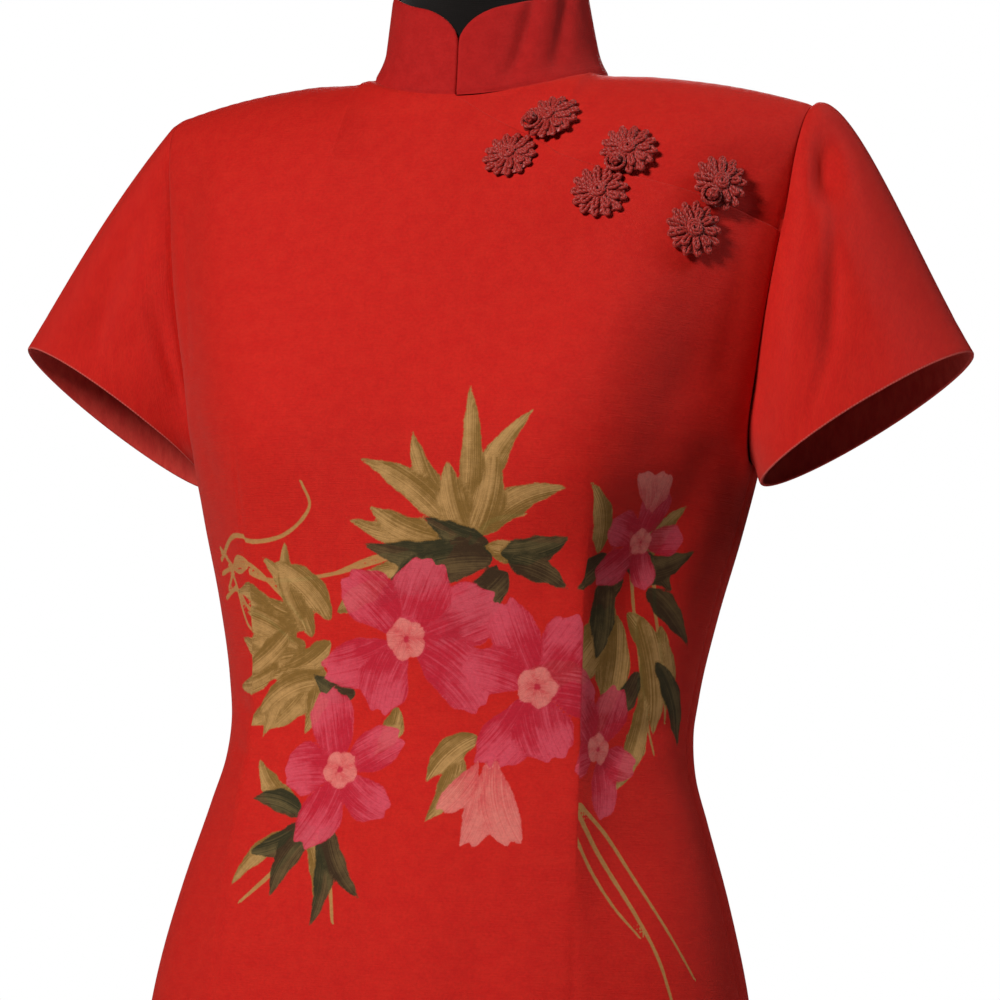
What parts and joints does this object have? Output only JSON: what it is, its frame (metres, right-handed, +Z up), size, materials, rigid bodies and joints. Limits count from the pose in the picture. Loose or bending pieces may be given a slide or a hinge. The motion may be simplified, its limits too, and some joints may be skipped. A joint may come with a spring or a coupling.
{
  "type": "cheongsam dress on a dress form",
  "caption": "Fitted knee-length dress with a stand-up collar, short sleeves and a slanting frog-fastened opening, on a black limbless dress form with a round stand.",
  "frame": {"origin": "on the floor under the middle of the stand's base and of the bounding box", "axes": "+Z up; the dress faces -Y; +X is the wearer's left, where the opening is"},
  "size_m": [0.5829, 0.38, 1.5107],
  "materials": {
    "dress_cloth": "soft satin sheen, printed",
    "frog_cord": "matte",
    "form_jersey": "matte",
    "cap_paint": "satin",
    "stand_paint": "satin"
  },
  "bodies": {
    "root": {"back": "dress_cloth", "collar": "dress_cloth", "form_cap": "cap_paint", "form_torso": "form_jersey", "frog_1_knot": "frog_cord", "frog_1_lower": "frog_cord", "frog_1_upper": "frog_cord", "frog_2_knot": "frog_cord", "frog_2_lower": "frog_cord", "frog_2_upper": "frog_cord", "frog_3_knot": "frog_cord", "frog_3_lower": "frog_cord", "frog_3_upper": "frog_cord", "front": "dress_cloth", "shoulder_flap": "dress_cloth", "sleeve_left": "dress_cloth", "sleeve_right": "dress_cloth", "stand_base": "stand_paint", "stand_pole": "stand_paint"}
  },
  "joints": []
}
